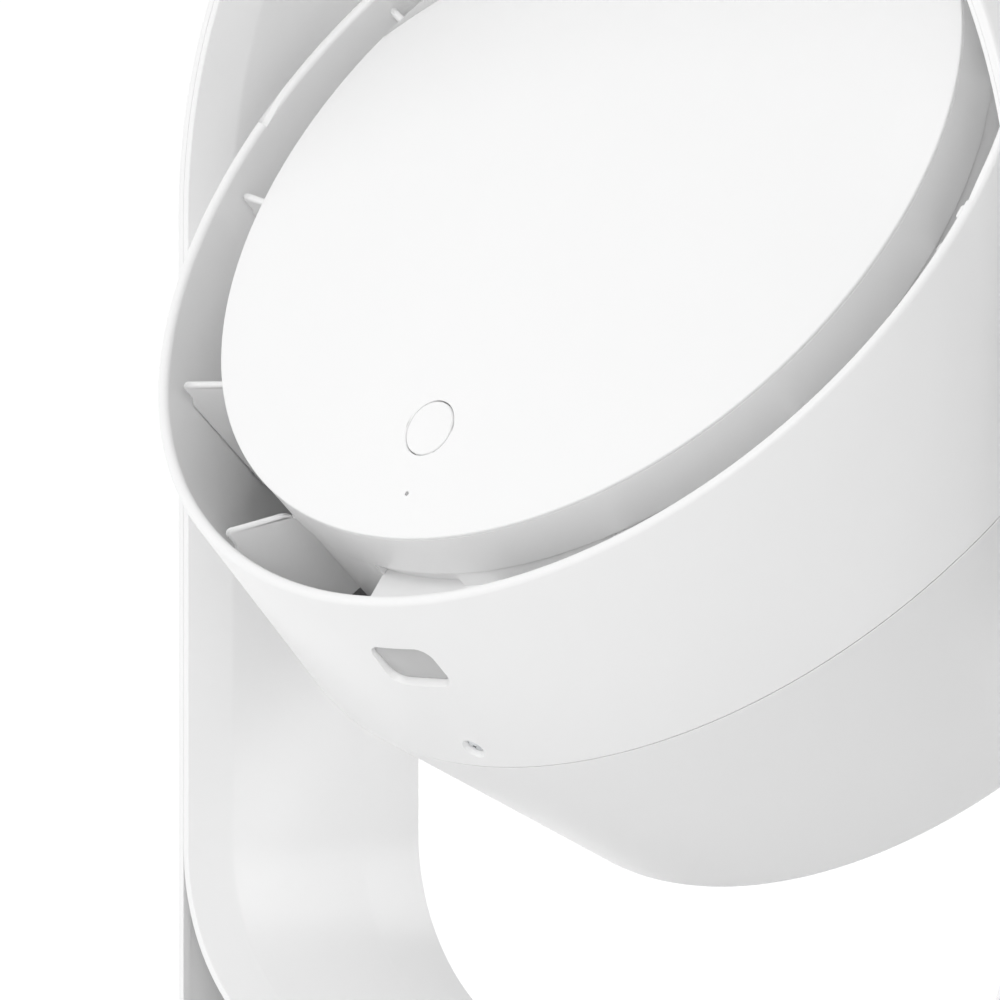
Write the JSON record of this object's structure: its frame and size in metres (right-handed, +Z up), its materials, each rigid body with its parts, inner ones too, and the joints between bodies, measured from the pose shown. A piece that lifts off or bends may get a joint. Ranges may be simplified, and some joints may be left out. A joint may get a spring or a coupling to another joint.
{
  "type": "bladeless fan",
  "caption": "Bladeless fan: a round drum tilts between the legs of a hoop stand and blows air through a ring gap round its domed front cover.",
  "frame": {"origin": "on the floor, under the middle of the bounding box", "axes": "+Z up, -Y to the front (the way the air is blown), +X to the fan's left hand side as it faces forwards"},
  "size_m": [0.2968, 0.2638, 0.3838],
  "materials": {
    "white_abs": "smooth moulded, satin gloss",
    "grey_window": "smooth moulded",
    "grey_plate": "fine moulded grain",
    "dark_nylon": "satin moulded",
    "smoked_acrylic": "polished",
    "zinc_plated_steel": "zinc plated",
    "pivot_steel": "turned",
    "rubber": "matt",
    "circuit_board": "solder mask",
    "stator_copper": "enamelled windings on laminations"
  },
  "bodies": {
    "stand": {"hoop_shell": "white_abs", "hoop_liner": "white_abs", "base_cover": "white_abs", "base_plate": "grey_plate", "base_weight": "zinc_plated_steel", "rubber_foot_1": "rubber", "rubber_foot_2": "rubber", "rubber_foot_3": "rubber", "rubber_foot_4": "rubber", "base_screw_1": "zinc_plated_steel", "base_screw_2": "zinc_plated_steel", "base_screw_3": "zinc_plated_steel", "base_screw_4": "zinc_plated_steel", "power_inlet": "dark_nylon", "driver_board": "circuit_board", "pivot_bush_left": "dark_nylon", "pivot_bush_right": "dark_nylon", "friction_washer_left": "dark_nylon", "friction_washer_right": "dark_nylon", "hinge_plate_left": "zinc_plated_steel", "hinge_plate_right": "zinc_plated_steel"},
    "drum": {"front_shell": "white_abs", "sensor_window": "grey_window", "rear_shell": "white_abs", "case_screw_1": "zinc_plated_steel", "case_screw_2": "zinc_plated_steel", "case_screw_3": "zinc_plated_steel", "rear_grille": "white_abs", "pivot_pin_left": "pivot_steel", "pivot_pin_right": "pivot_steel", "vane_ring": "white_abs", "front_cover": "white_abs", "motor_housing": "zinc_plated_steel", "motor_end_cap": "zinc_plated_steel", "motor_stator": "stator_copper", "bearing_front": "pivot_steel", "bearing_rear": "pivot_steel", "inlet_bell": "dark_nylon", "power_switch": "dark_nylon", "control_board": "circuit_board", "light_pipe": "smoked_acrylic"},
    "rotor": {"rotor_shaft": "pivot_steel", "impeller": "dark_nylon", "impeller_nut": "zinc_plated_steel"},
    "button": {"power_button": "white_abs"}
  },
  "joints": [
    {"name": "drum_tilt", "type": "hinge", "parent": "stand", "child": "drum", "pos_m": [0, -0.00572, 0.211], "axis": [1, 0, 0], "range_deg": [-50, 40]},
    {"name": "impeller_spin", "type": "hinge", "parent": "drum", "child": "rotor", "pos_m": [0, -0.00572, 0.211], "axis": [0, -0.766, 0.6428], "continuous": true},
    {"name": "power_press", "type": "slide", "parent": "drum", "child": "button", "axis": [0, 0.8838, -0.4678], "range_m": [0, 0.0012], "stiffness_N_per_m": 1500}
  ]
}
